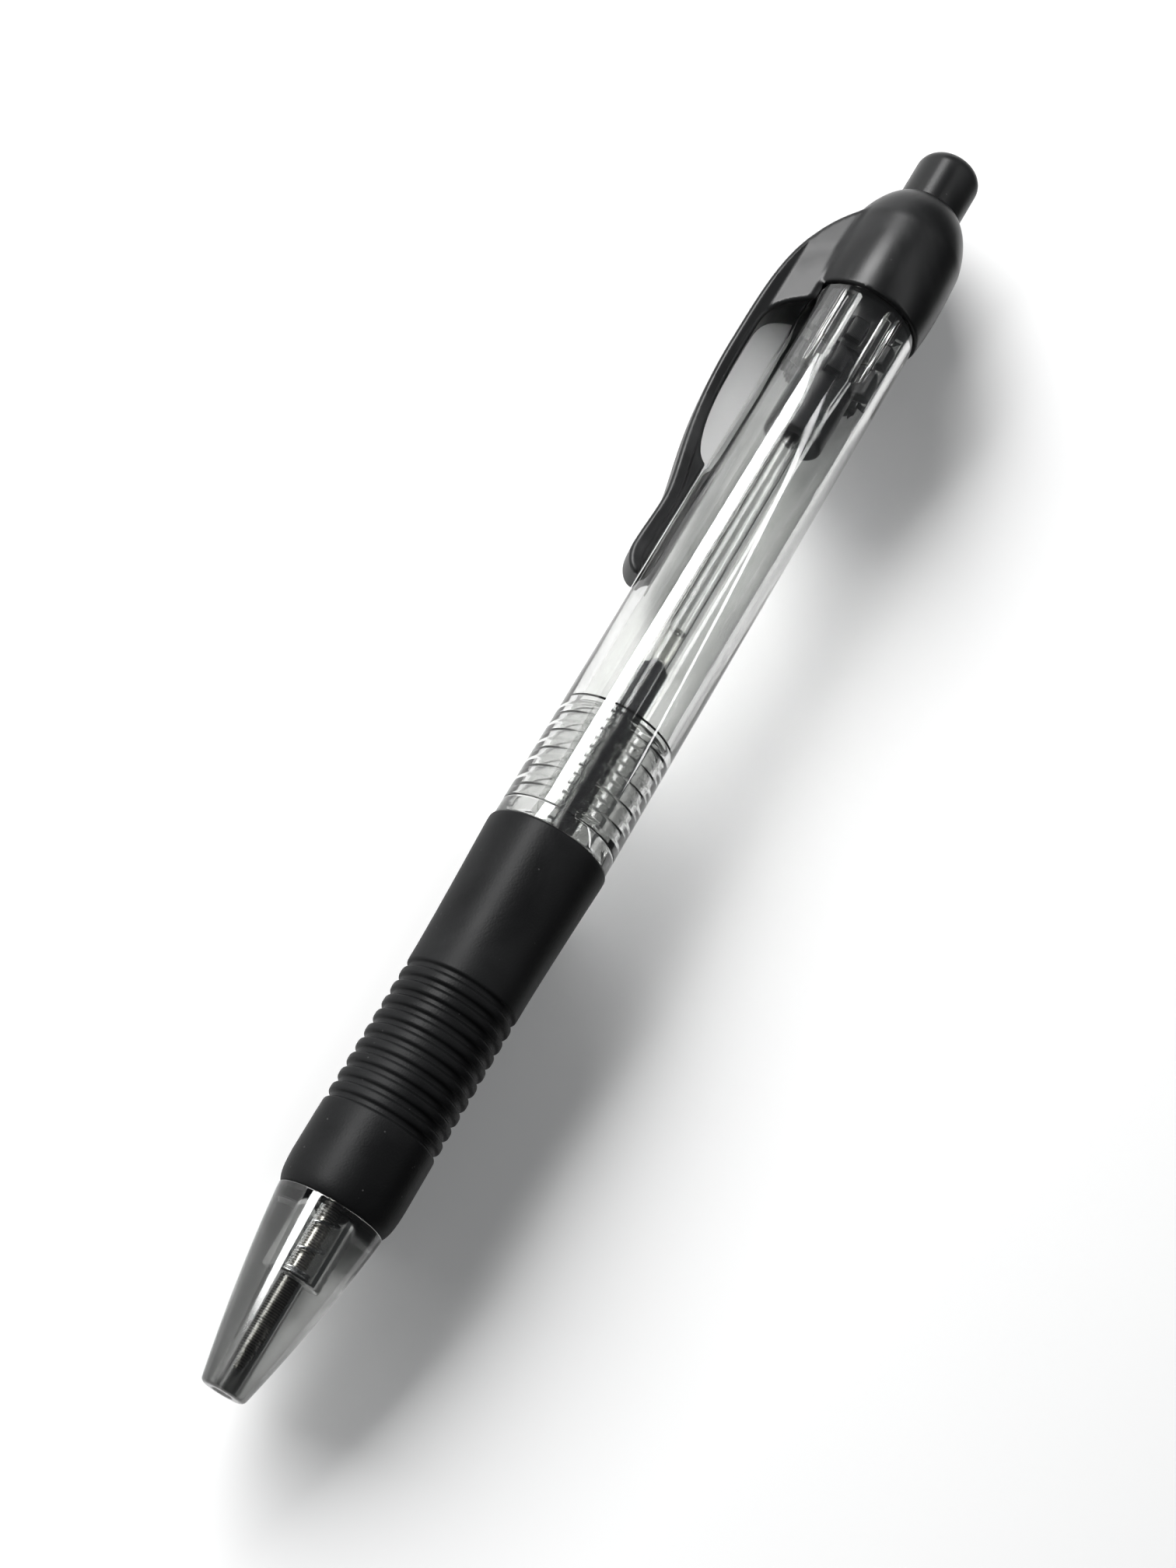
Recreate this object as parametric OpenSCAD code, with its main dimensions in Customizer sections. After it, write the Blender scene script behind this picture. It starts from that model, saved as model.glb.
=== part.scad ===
// Retractable gel pen with a clear barrel, a rubber grip and a moulded clip.
// Each piece is drawn upright about the pen's axis: z runs from the nose tip (0) to the
// push button, and +x points at the clip. lay() then puts the pen down on its side, so
// that it rests on the cap's belly and on the lower edge of the clip.

/* [Front section] */
// Length of the bare nose cone, up to the grip
nose_len = 17; // [15:0.5:21]
// Radius of the nose at its end face
nose_tip_r = 2; // [1.8:0.05:2.4]
// How much slimmer than the barrel the nose is where the grip starts
nose_step = 0.75; // [0.4:0.05:1]
// How far the nose bulges past a straight cone
nose_bulge = 0.25; // [0:0.05:0.4]
// Depth of the solid nose in front of the spring pocket
nose_seat_z = 10.6; // [9:0.1:11.5]
// Length of the narrow spring pocket
spring_pocket_len = 22; // [21:0.5:26]
// Bore of the section behind the spring pocket, as a radius
section_bore_r = 2.9; // [2.6:0.05:3.2]
// Length of the clear flange between the grip and the barrel
flange_len = 1.8; // [1:0.1:3]

/* [Grip] */
// Length of the rubber sleeve
grip_len = 37.4; // [30:0.2:45]
// How much slimmer than the barrel the sleeve's waist is
grip_waist_step = 0.28; // [0:0.02:0.4]
// How far the sleeve's rear end stands out past the barrel
grip_flare_step = 0.24; // [0:0.02:0.4]
// Thickness of the rubber at the waist
grip_wall = 1.12; // [0.9:0.02:1.3]
// Length of the flared rear stretch
grip_flare_len = 14.4; // [10:0.2:18]
// Number of grooves round the sleeve
groove_count = 10; // [4:1:12]
// Distance from one groove to the next
groove_pitch = 1.467; // [1.2:0.01:1.6]
// Width of a groove at its mouth
groove_w = 0.66; // [0.4:0.02:0.9]
// Depth of a groove
groove_depth = 0.34; // [0.2:0.02:0.5]
// Distance from the front of the sleeve to the first groove
groove_start = 8.3; // [6:0.1:9]

/* [Barrel] */
// Length of barrel that shows between the section and the cap
barrel_len = 62.2; // [52:0.2:76]
// Outer diameter of the barrel
barrel_d = 11.4; // [11.2:0.1:13.8]
// Wall of the barrel
barrel_wall = 1.15; // [1:0.05:1.3]
// Length of the barrel's neck inside the cap
neck_len = 7.6; // [6:0.1:8.5]
// Length of the screw thread
thread_len = 11.2; // [9:0.1:13]
// Pitch of the screw thread
thread_pitch = 2; // [1.6:0.1:2.4]
// Depth of the screw thread
thread_depth = 0.3; // [0.2:0.02:0.4]
// Wall of the barrel round the screw thread
thread_wall = 0.8; // [0.7:0.02:0.9]
// Number of guide ribs round the rear of the barrel
rib_count = 6; // [4:1:8]
// Length of the guide ribs
rib_len = 9; // [8.5:0.1:10]
// Width of a guide rib
rib_w = 1; // [0.8:0.05:1.3]
// How far the ribs end in front of the cap
rib_inset = 0.4; // [0.3:0.1:1]

/* [Cap and clip] */
// Length of the cap
cap_len = 14.9; // [14.5:0.1:17]
// How far the cap's front edge stands out past the barrel
cap_edge_step = 0.25; // [0.15:0.01:0.5]
// How far the cap's belly stands out past the barrel
cap_belly_step = 0.51; // [0.35:0.01:0.9]
// Wall of the cap where it holds the barrel's neck
cap_wall = 0.95; // [0.8:0.05:1.1]
// Depth of the cap's rear end, behind the button's stop
cap_end_len = 3.7; // [3.3:0.1:4.3]
// Distance from the cap's front edge to the tip of the clip
clip_reach = 37; // [34:0.2:46]
// Length of the shoe that presses on the barrel
shoe_len = 13.8; // [12:0.1:16]
// Width of the clip arm
clip_w = 3.6; // [3:0.1:4.4]
// Height of the clip's crest above the barrel
clip_rise = 4.26; // [3.8:0.02:4.8]
// Width of the clip's root where it meets the barrel
root_w = 5.6; // [4.6:0.1:6.4]
// Radius of the flexing knuckle at the arm's root
knuckle_r = 0.7; // [0.6:0.02:0.74]

/* [Button and cam] */
// Diameter of the push button
button_d = 6.7; // [6.3:0.05:6.8]
// How far the button stands out of the cap
button_out = 6.6; // [6.2:0.1:9.6]
// How far the button travels
button_travel = 5.4; // [4.6:0.1:6]
// Radius of the round edge on the button's end
button_round = 1.7; // [0.8:0.1:2]
// How far the button's stop collar stands out past its shank
collar_step = 0.85; // [0.6:0.05:0.9]
// Length of the stop collar
collar_len = 4; // [3:0.1:4.2]
// How much slimmer than the button's shank the cam's body is
cam_step = 0.35; // [0.25:0.05:0.6]
// Length of the cam's splines
spline_len = 3.4; // [2.8:0.1:3.6]
// Width of a spline on the cam and of a lug on the button
spline_w = 1.6; // [1.2:0.05:1.8]
// Depth of the teeth between button and cam
tooth_depth = 1; // [0.6:0.05:1.2]
// Depth of the cam's socket for the refill
socket_len = 4; // [3:0.1:5]
// Radius of the cam's stem inside the button
stem_r = 1.5; // [1.2:0.05:1.7]
// Length of the cam's stem
stem_len = 7; // [5:0.1:8]

/* [Refill] */
// Outer diameter of the ink tube
refill_d = 3.3; // [2.7:0.05:3.4]
// Bore of the ink tube
refill_bore_d = 1.75; // [1.2:0.05:2]
// Diameter of the writing ball
ball_d = 0.7; // [0.4:0.02:0.8]
// Diameter of the metal point's shank
point_d = 1.66; // [1.5:0.02:1.8]
// Length of the metal point's cone
point_cone_len = 2.3; // [1.8:0.1:2.8]
// Length of the point's shank inside the tip holder
point_hold_len = 3; // [2:0.1:4]
// How far the retracted point sits inside the nose
point_inset = 2.1; // [1.8:0.1:2.8]
// Length of the tip holder's plug inside the ink tube
plug_len = 4; // [3:0.2:6]
// Length of the ink column
ink_len = 40.8; // [10:0.2:55]
// Length of the grease plug that follows the ink
follower_len = 3.6; // [2:0.1:6]

/* [Return spring] */
// Length of the spring with the point retracted
spring_len = 18.2; // [17:0.2:20]
// Outer diameter of the spring
spring_d = 3.1; // [2.9:0.02:3.14]
// Diameter of the spring wire
wire_d = 0.34; // [0.28:0.02:0.38]
// Number of coils
coil_count = 10; // [8:1:16]

/* [Fits] */
// Gap round a piece that is pushed on or in and stays there
push_fit = 0.02; // [0.01:0.01:0.04]
// Gap round a piece that slides or turns
slide_fit = 0.08; // [0.05:0.01:0.1]
// Gap between faces that press on each other
face_gap = 0.1; // [0.05:0.01:0.15]
// Gap between the clip's shoe and the barrel
shoe_gap = 0.12; // [0.08:0.01:0.2]

/* [Hidden] */

$fn = 96;
eps = 0.01;

// Stations along the axis, from the nose tip
grip_z = nose_len;
flange_z = grip_z + grip_len;
joint_z = flange_z + flange_len;
thread_end_z = joint_z + thread_len;
cap_z = joint_z + barrel_len;
cap_end_z = cap_z + cap_len;
total_len = cap_end_z + button_out;

// Radii that follow the barrel
barrel_r = barrel_d / 2;
nose_base_r = barrel_r - nose_step;
grip_waist_r = barrel_r - grip_waist_step;
grip_rear_r = barrel_r + grip_flare_step;
cap_edge_r = barrel_r + cap_edge_step;
cap_belly_r = barrel_r + cap_belly_step;
bore_r = barrel_r - barrel_wall;
thread_bore_r = barrel_r - thread_wall;
thread_crest_r = thread_bore_r - slide_fit;
thread_root_r = thread_crest_r - thread_depth;
neck_r = cap_edge_r - cap_wall;
core_r = grip_waist_r - grip_wall;

// Guide ribs, and what slides between and inside them
rib_end_z = cap_z - rib_inset;
rib_z = rib_end_z - rib_len;
button_r = button_d / 2;
collar_r = button_r + collar_step;
cam_r = button_r - cam_step;
rib_tip_r = button_r + 2 * slide_fit;
spline_r = bore_r - 2 * slide_fit;
spline_z = rib_z + 0.2;
cam_end_z = spline_z + spline_len;
cam_z = cam_end_z - 10.2;
socket_end_z = cam_z + socket_len;
stop_z = cap_end_z - cap_end_len;
collar_z = stop_z - face_gap - collar_len;

// Refill
ball_r = ball_d / 2;
point_r = point_d / 2;
refill_r = refill_d / 2;
refill_bore_r = refill_bore_d / 2;
orifice_r = point_r + slide_fit;
point_rim_z = point_inset + 0.6 * ball_r;
holder_z = nose_seat_z + button_travel + 2 * face_gap;
point_end_z = holder_z + point_hold_len;
spring_z = nose_seat_z + face_gap;
holder_collar_z = spring_z + spring_len + face_gap;
holder_collar_len = 1.6;
ink_way_r = 0.4;
tube_z = holder_collar_z + holder_collar_len;
tube_end_z = socket_end_z - face_gap;
ink_z = tube_z + plug_len;
ink_end_z = ink_z + ink_len;
follower_end_z = ink_end_z + follower_len;
wire_r = wire_d / 2;
coil_r = spring_d / 2 - wire_r;
holder_r = coil_r - wire_r - slide_fit;
pocket_r = max(refill_r, spring_d / 2) + 2 * slide_fit;
pocket_end_z = nose_seat_z + spring_pocket_len;

// Clip outline, as distance along the axis and from it
clip_z = cap_z - clip_reach;
gap_z = clip_z + shoe_len;
crest_z = cap_z - 10.3;
hinge_z = cap_z - 5;
shoe_r = barrel_r + shoe_gap;
crest_r = barrel_r + clip_rise;
arm_t = 2 * knuckle_r;
hinge_r = crest_r - 0.05 - knuckle_r;

// How the pen lies: the clip points sideways and down until its edge meets the surface
rest_r = cap_belly_r;
clip_dip = asin(rest_r / norm([crest_r, clip_w / 2])) - atan(clip_w / 2 / crest_r);
clip_side_y = crest_r * cos(clip_dip) + clip_w / 2 * sin(clip_dip);
axis_y = -(clip_side_y - rest_r) / 2;

module lay() {
    translate([-total_len / 2, axis_y, rest_r])
        rotate([90 - clip_dip, 0, 0])
            rotate([0, 90, 0])
                children();
}

// Points of a cubic curve between a and d, pulled towards b and c
function curve(a, b, c, d, steps) = [
    for (i = [0:steps])
        let (t = i / steps, u = 1 - t)
            u * u * u * a + 3 * u * u * t * b + 3 * u * t * t * c + t * t * t * d
];

// Solid of revolution about the axis through the points, given as [radius, z]
module turned(points) {
    rotate_extrude() polygon(points);
}

// Straight bore from one station to another
module bore(r, z0, z1) {
    translate([0, 0, z0]) cylinder(r = r, h = z1 - z0);
}

// Copies a shape round the axis
module around(count, turn = 0) {
    for (i = [0:count - 1]) rotate([0, 0, turn + i * 360 / count]) children();
}

// Flat outline in the tangential direction and z, raised from one radius to another
module raised(r0, r1, points) {
    translate([r0, 0, 0]) rotate([90, 0, 90]) linear_extrude(r1 - r0) polygon(points);
}

// Flat outline given as [z, radius] in the clip's plane, of the given width
module slab(points, width) {
    rotate([90, 0, 0])
        linear_extrude(width, center = true)
            polygon([for (p = points) [p[1], p[0]]]);
}

// ---- Barrel: clear tube, threaded bore in front, guide ribs and cap neck behind ----
module barrel() {
    color([0.86, 0.88, 0.88, 0.35]) lay() {
        difference() {
            union() {
                bore(barrel_r, joint_z, cap_z);
                bore(neck_r, cap_z - eps, cap_z + neck_len);
            }
            bore(bore_r, joint_z - 1, cap_z + neck_len + 1);
            bore(thread_bore_r, joint_z - 1, thread_end_z + face_gap);
        }
        intersection() {
            around(rib_count) raised(rib_tip_r, bore_r + 0.4, [
                [-rib_w / 2, rib_z],
                [rib_w / 2, rib_z + rib_w],
                [rib_w / 2, rib_end_z],
                [-rib_w / 2, rib_end_z]
            ]);
            bore(bore_r + 0.3, rib_z - 1, rib_end_z + 1);
        }
    }
}

// ---- Front section: clear nose, grip core, flange and screw thread in one piece ----
function nose_r(t) = nose_tip_r + (nose_base_r - nose_tip_r) * t + nose_bulge * 4 * t * (1 - t);

module front_section() {
    nose_steps = 14;
    thread_rings = floor((thread_len - thread_pitch / 2) / thread_pitch);
    color([0.86, 0.88, 0.88, 0.35]) lay() difference() {
        union() {
            turned(concat(
                [[0, 0], [nose_tip_r - 0.3, 0]],
                [for (i = [0:nose_steps])
                    let (t = max(i / nose_steps, 0.02)) [nose_r(t), nose_len * t]],
                [[core_r, grip_z], [core_r, flange_z], [barrel_r, flange_z]],
                [[barrel_r, joint_z], [thread_root_r, joint_z]],
                [[thread_root_r, thread_end_z], [0, thread_end_z]]
            ));
            for (i = [0:thread_rings - 1])
                turned([
                    [thread_root_r - 0.1, joint_z + (i + 0.6) * thread_pitch],
                    [thread_root_r, joint_z + (i + 0.6) * thread_pitch],
                    [thread_crest_r, joint_z + (i + 0.75) * thread_pitch],
                    [thread_crest_r, joint_z + (i + 0.9) * thread_pitch],
                    [thread_root_r, joint_z + (i + 1.05) * thread_pitch],
                    [thread_root_r - 0.1, joint_z + (i + 1.05) * thread_pitch]
                ]);
        }
        bore(orifice_r, -1, nose_seat_z + 1);
        bore(pocket_r, nose_seat_z, pocket_end_z + 1);
        bore(section_bore_r, pocket_end_z, thread_end_z + 1);
    }
}

// ---- Grip sleeve: one piece of rubber with grooves all round and a flared rear ----
grip_step = 0.5;
flare_start = grip_len - grip_flare_len;
function grip_r(d) = d < flare_start
    ? grip_waist_r
    : grip_waist_r + (grip_rear_r - grip_waist_r) * pow((d - flare_start) / grip_flare_len, 1.3);

module grip_sleeve() {
    color([0.07, 0.07, 0.075]) lay() difference() {
        turned(concat(
            [[0, grip_z], [nose_base_r + 0.1, grip_z], [grip_waist_r - 0.1, grip_z + 1.4]],
            [for (i = [0:groove_count - 1], corner = [[-0.5, 0], [-0.2, 1], [0.2, 1], [0.5, 0]])
                let (d = groove_start + i * groove_pitch)
                    [grip_r(d) - corner[1] * groove_depth, grip_z + d + corner[0] * groove_w]],
            [for (i = [0:8])
                let (d = flare_start + (grip_flare_len - grip_step) * i / 8)
                    [grip_r(d), grip_z + d]],
            [[grip_rear_r - 0.2, flange_z], [0, flange_z]]
        ));
        bore(core_r + push_fit, grip_z - 1, flange_z + 1);
    }
}

// ---- Cap: holds the barrel's neck and the button, and carries the clip's root ----
// Top line of the clip from its crest over the root, down into the cap's shoulder
root_curve = curve(
    [crest_z, crest_r],
    [cap_z - 1.4, crest_r + 0.04],
    [cap_z + 5.6, crest_r + 0.24],
    [cap_z + 10.5, barrel_r - 0.8],
    24
);

module clip_root() {
    underside = hinge_r - knuckle_r;
    outline = concat(
        [for (p = root_curve) if (p[0] > hinge_z) p],
        [[cap_z + 10.5, neck_r - 1], [cap_z - 2.4, neck_r - 1]],
        [[cap_z - 2.4, barrel_r], [cap_z - 4.6, underside - 0.15]],
        [[hinge_z, underside], [hinge_z, crest_r - 0.05]]
    );
    difference() {
        intersection() {
            slab(outline, root_w);
            linear_extrude(total_len)
                polygon([
                    [0, -root_w / 2], [barrel_r, -root_w / 2], [underside, -clip_w / 2],
                    [crest_r + 1, -clip_w / 2], [crest_r + 1, clip_w / 2],
                    [underside, clip_w / 2], [barrel_r, root_w / 2], [0, root_w / 2]
                ]);
        }
        clip_pivot(knuckle_r + slide_fit / 2, root_w + 1);
        bore(barrel_r + push_fit, cap_z - 20, cap_z + eps);
    }
}

// Round bar across the clip at its flexing point
module clip_pivot(r, width) {
    translate([hinge_r, 0, hinge_z])
        rotate([90, 0, 0])
            cylinder(r = r, h = width, center = true);
}

module cap() {
    neck_bore_end_z = cap_z + neck_len + face_gap;
    color([0.05, 0.05, 0.055]) lay() difference() {
        union() {
            turned(concat(
                [[0, cap_z]],
                curve([cap_edge_r, cap_z], [cap_edge_r + 0.15, cap_z + 1.6],
                    [cap_belly_r, cap_z + 2.8], [cap_belly_r, cap_z + 4.4], 6),
                curve([cap_belly_r, cap_z + 4.8], [cap_belly_r, cap_z + 6.4],
                    [cap_belly_r - 0.1, cap_z + 8], [cap_belly_r - 0.16, cap_z + 9.4], 4),
                curve([cap_belly_r - 0.2, cap_end_z - 5.1], [cap_belly_r - 0.5, cap_end_z - 3.4],
                    [button_r + 1.6, cap_end_z - 1.3], [button_r + 0.3, cap_end_z], 10),
                [[0, cap_end_z]]
            ));
            clip_root();
        }
        bore(neck_r + push_fit, cap_z - 1, neck_bore_end_z);
        bore(collar_r + 2 * slide_fit, cap_z, stop_z);
        bore(button_r + slide_fit, cap_z, cap_end_z + 1);
    }
}

// ---- Clip: springy arm with a shoe that presses on the barrel ----
module clip() {
    top = concat(
        curve([clip_z, shoe_r], [clip_z + 0.05, shoe_r + 0.9], [clip_z + 1, barrel_r + 1.9],
            [clip_z + 2.6, barrel_r + 2.02], 8),
        curve([clip_z + 3, barrel_r + 2.02], [clip_z + 4.6, barrel_r + 2.02],
            [clip_z + 6.1, barrel_r + 1.86], [clip_z + 7.9, barrel_r + 1.86], 6),
        curve([clip_z + 8.3, barrel_r + 1.86], [clip_z + 11.6, barrel_r + 1.9],
            [crest_z - 10.6, crest_r - 0.1], [crest_z, crest_r], 16),
        [for (p = root_curve) if (p[0] > crest_z + 0.1 && p[0] < hinge_z) p]
    );
    underside = hinge_r - knuckle_r;
    below = curve([hinge_z, underside], [gap_z + 6.7, underside], [gap_z + 1, underside - 0.5],
        [gap_z, shoe_r], 14);
    color([0.05, 0.05, 0.055]) lay() {
        slab(concat(top, [[hinge_z, crest_r - 0.05]], below), clip_w);
        clip_pivot(knuckle_r, clip_w);
    }
}

// ---- Push button: cap on a hollow shank, stop collar, guide lugs and crown teeth ----
// Wedge that points towards the nose, as the button's teeth and the cam's notches do
module tooth_wedge(grow) {
    half = 0.9;
    raised(0, button_r + 1, [
        [-half - grow, cam_end_z + 1],
        [-half - grow, cam_end_z],
        [0, cam_end_z - tooth_depth - grow],
        [half + grow, cam_end_z],
        [half + grow, cam_end_z + 1]
    ]);
}

module push_button() {
    shank_z = cam_end_z + face_gap;
    bore_end_z = cam_end_z + stem_len + 1;
    color([0.05, 0.05, 0.055]) lay() difference() {
        union() {
            turned([
                [0, shank_z],
                [button_r, shank_z],
                [button_r, total_len - button_round],
                for (a = [10:10:80])
                    [button_r - button_round * (1 - cos(a)),
                     total_len - button_round * (1 - sin(a))],
                [button_r - button_round, total_len],
                [0, total_len]
            ]);
            bore(collar_r, collar_z, collar_z + collar_len);
            intersection() {
                around(rib_count, 180 / rib_count) raised(button_r - 0.5, bore_r, [
                    [-spline_w / 2, shank_z + 0.6], [spline_w / 2, shank_z + 0.6],
                    [spline_w / 2, shank_z + 3], [-spline_w / 2, shank_z + 3]
                ]);
                bore(spline_r, shank_z, shank_z + 4);
            }
            intersection() {
                around(rib_count) tooth_wedge(-face_gap);
                bore(cam_r, cam_end_z - tooth_depth - 1, shank_z + eps);
            }
        }
        bore(stem_r + slide_fit, cam_end_z - 3, bore_end_z);
    }
}

// ---- Rotor cam: turns one notch at each click; holds the tail of the refill ----
module rotor_cam() {
    color([0.08, 0.08, 0.085]) lay() {
        difference() {
            union() {
                bore(cam_r, cam_z, cam_end_z);
                intersection() {
                    around(rib_count, 180 / rib_count) raised(cam_r - 0.5, bore_r, [
                        [-spline_w / 2, spline_z], [spline_w / 2, spline_z],
                        [spline_w / 2, cam_end_z - 1.2], [-spline_w / 2, cam_end_z - 0.2]
                    ]);
                    bore(spline_r, spline_z - 1, cam_end_z + 1);
                }
            }
            around(rib_count) tooth_wedge(face_gap / 2);
            bore(refill_r + push_fit, cam_z - 1, socket_end_z);
        }
        bore(stem_r, cam_end_z - tooth_depth - 2, cam_end_z + stem_len);
    }
}

// ---- Refill: ink tube, tip holder, metal point, ball, ink and follower ----
module refill_tube() {
    color([0.9, 0.9, 0.9, 0.35]) lay() difference() {
        bore(refill_r, tube_z, tube_end_z);
        bore(refill_bore_r, tube_z - 1, tube_end_z + 1);
    }
}

module tip_holder() {
    color([0.85, 0.86, 0.86]) lay() difference() {
        union() {
            bore(holder_r, holder_z, holder_collar_z + eps);
            bore(refill_r, holder_collar_z, tube_z);
            bore(refill_bore_r - push_fit, tube_z - eps, ink_z);
        }
        bore(point_r + push_fit, holder_z - 1, point_end_z + push_fit);
        bore(ink_way_r, point_end_z - 1, ink_z + 1);
    }
}

module point_body() {
    color([0.62, 0.6, 0.56]) lay() difference() {
        turned([
            [0, point_rim_z],
            [ball_r + 0.04, point_rim_z],
            [point_r, point_inset + point_cone_len],
            [point_r, point_end_z],
            [0, point_end_z]
        ]);
        translate([0, 0, point_inset + ball_r]) sphere(r = ball_r + push_fit);
        bore(0.3 * ball_d, point_inset + ball_r, point_inset + point_cone_len + eps);
        bore(ink_way_r, point_inset + point_cone_len, point_end_z + 1);
    }
}

module writing_ball() {
    color([0.75, 0.76, 0.78]) lay()
        translate([0, 0, point_inset + ball_r]) sphere(r = ball_r);
}

module gel_ink() {
    color([0.03, 0.03, 0.035]) lay() bore(refill_bore_r - push_fit, ink_z, ink_end_z);
}

module ink_follower() {
    color([0.9, 0.9, 0.85, 0.5]) lay() bore(refill_bore_r - push_fit, ink_end_z, follower_end_z);
}

// ---- Return spring: round wire swept along a helix, with closed end coils ----
wire_sides = 8;
coil_sides = 16;

// Height of the wire's centre at turn t: the end coils lie flat, the rest are open
function coil_z(t) = let (
    closed = 1.5,
    open_turns = coil_count - 2 * closed,
    open_len = spring_len - wire_d * (2 * closed + 1),
    rise = wire_d * min(t, closed) + wire_d * max(t - coil_count + closed, 0)
) spring_z + wire_r + rise + open_len * min(max(t - closed, 0), open_turns) / open_turns;

module return_spring() {
    rings = coil_count * coil_sides;
    points = [
        for (i = [0:rings], j = [0:wire_sides - 1])
            let (
                turn = i / coil_sides,
                a = 360 * turn,
                w = 360 * j / wire_sides,
                r = coil_r + 0.97 * wire_r * cos(w)
            ) [r * cos(a), r * sin(a), coil_z(turn) + 0.97 * wire_r * sin(w)]
    ];
    sides = [
        for (i = [0:rings - 1], j = [0:wire_sides - 1])
            let (k = (j + 1) % wire_sides, n = i * wire_sides)
                [n + j, n + k, n + k + wire_sides, n + j + wire_sides]
    ];
    first = [for (j = [wire_sides - 1:-1:0]) j];
    last = [for (j = [0:wire_sides - 1]) rings * wire_sides + j];
    color([0.75, 0.76, 0.78]) lay() polyhedron(points, concat(sides, [first, last]));
}

barrel();
front_section();
grip_sleeve();
cap();
clip();
push_button();
rotor_cam();
refill_tube();
tip_holder();
point_body();
writing_ball();
gel_ink();
ink_follower();
return_spring();
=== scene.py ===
import math

import bpy
import numpy as np
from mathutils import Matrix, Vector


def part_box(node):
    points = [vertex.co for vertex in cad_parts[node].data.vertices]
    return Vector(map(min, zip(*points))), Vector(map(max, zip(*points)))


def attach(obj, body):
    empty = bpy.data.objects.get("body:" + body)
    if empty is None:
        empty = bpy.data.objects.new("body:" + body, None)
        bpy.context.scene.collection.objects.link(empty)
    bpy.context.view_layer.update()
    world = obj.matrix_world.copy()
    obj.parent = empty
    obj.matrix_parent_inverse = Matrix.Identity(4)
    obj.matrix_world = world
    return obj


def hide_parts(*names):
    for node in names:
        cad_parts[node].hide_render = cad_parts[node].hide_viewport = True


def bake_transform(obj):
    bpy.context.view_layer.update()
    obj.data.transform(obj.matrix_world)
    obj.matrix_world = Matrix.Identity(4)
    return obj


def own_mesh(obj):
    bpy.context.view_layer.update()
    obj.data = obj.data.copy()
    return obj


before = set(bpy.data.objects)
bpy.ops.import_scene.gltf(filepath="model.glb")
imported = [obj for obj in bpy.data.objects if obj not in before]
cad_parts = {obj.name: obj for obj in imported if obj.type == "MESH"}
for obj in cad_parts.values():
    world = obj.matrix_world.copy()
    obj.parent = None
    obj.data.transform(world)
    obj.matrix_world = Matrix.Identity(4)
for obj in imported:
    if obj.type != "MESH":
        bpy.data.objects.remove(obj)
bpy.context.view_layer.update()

# ---- Barrel ----
# One injection-moulded tube of clear styrene. Its front is threaded inside for the nose
# section. Behind, six guide ribs stand inward, and a thinner neck snaps into the cap.
barrel_r = 5.7
barrel_bore_r = 4.55
barrel_front = 56.2
cap_front = 118.4
neck_r = 5.0
neck_end = 126.0
thread_end = 67.4
thread_pitch = 2.0
rib_front = 109.0
rib_back = 118.0
rib_inner_r = 3.51
rib_count = 6
rib_spacing = 360 / rib_count
rib_slope = 0.08
barrel_thread_r = 4.9
barrel_ridge = 0.06
thread_row_step = 0.085

grip_low, grip_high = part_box("grip_sleeve")
axis_y = (grip_low.y + grip_high.y) / 2
axis_height = (grip_low.z + grip_high.z) / 2
nose_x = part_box("front_section")[0].x
clip_dip = math.radians(27.604)


def lay(points):
    """The pen's own millimetres (towards the clip, across, along from the nose) on the table."""
    toward_clip, across, along = np.asarray(points, float).T / 1000
    c = math.cos(clip_dip)
    s = math.sin(clip_dip)
    y = axis_y + toward_clip * c + across * s
    height = axis_height - toward_clip * s + across * c
    return np.stack([nose_x + along, y, height], 1)


def assemble(name, points, faces, material, crease=38):
    """A smooth-shaded piece from pen millimetres, with edges sharper than crease kept."""
    mesh = bpy.data.meshes.new(name)
    mesh.from_pydata(lay(points).tolist(), [], faces)
    mesh.shade_smooth()
    mesh.set_sharp_from_angle(angle=math.radians(crease))
    mesh.materials.append(material)
    piece = bpy.data.objects.new(name, mesh)
    bpy.context.scene.collection.objects.link(piece)
    return piece


def ring_faces(rows, columns, closed):
    """Quads between neighbouring rings, and from the last ring to the first if closed."""
    row = np.arange(rows if closed else rows - 1)[:, None] * columns
    after = (row + columns) % (rows * columns)
    column = np.arange(columns)
    beside = (column + 1) % columns
    corners = [row + column, row + beside, after + beside, after + column]
    return np.stack([c.ravel() for c in corners], 1).tolist()


def softened(points, steps=4):
    """A profile of (along, radius, rounding) corners, with each rounding made an arc."""
    line = []
    for i, (along, radius, rounding) in enumerate(points):
        corner = np.array([along, radius], float)
        if rounding <= 0:
            line.append(corner)
            continue
        back = np.array(points[i - 1][:2], float) - corner
        on = np.array(points[(i + 1) % len(points)][:2], float) - corner
        start = corner + back * min(rounding / np.hypot(*back), 0.45)
        end = corner + on * min(rounding / np.hypot(*on), 0.45)
        for t in np.linspace(0, 1, steps + 1):
            line.append((1 - t) ** 2 * start + 2 * t * (1 - t) * corner + t * t * end)
    return np.array(line)


def thread_height(along, angle, start, end):
    """0 to 1 over a right-hand thread's ridges, which fade out at both ends."""
    wave = np.clip(0.5 + 1.5 * np.cos(angle - 2 * math.pi * along / thread_pitch), 0, 1)
    fade = np.clip((along - start) / 0.7, 0, 1) * np.clip((end - along) / 0.7, 0, 1)
    return wave * wave * (3 - 2 * wave) * fade


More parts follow.
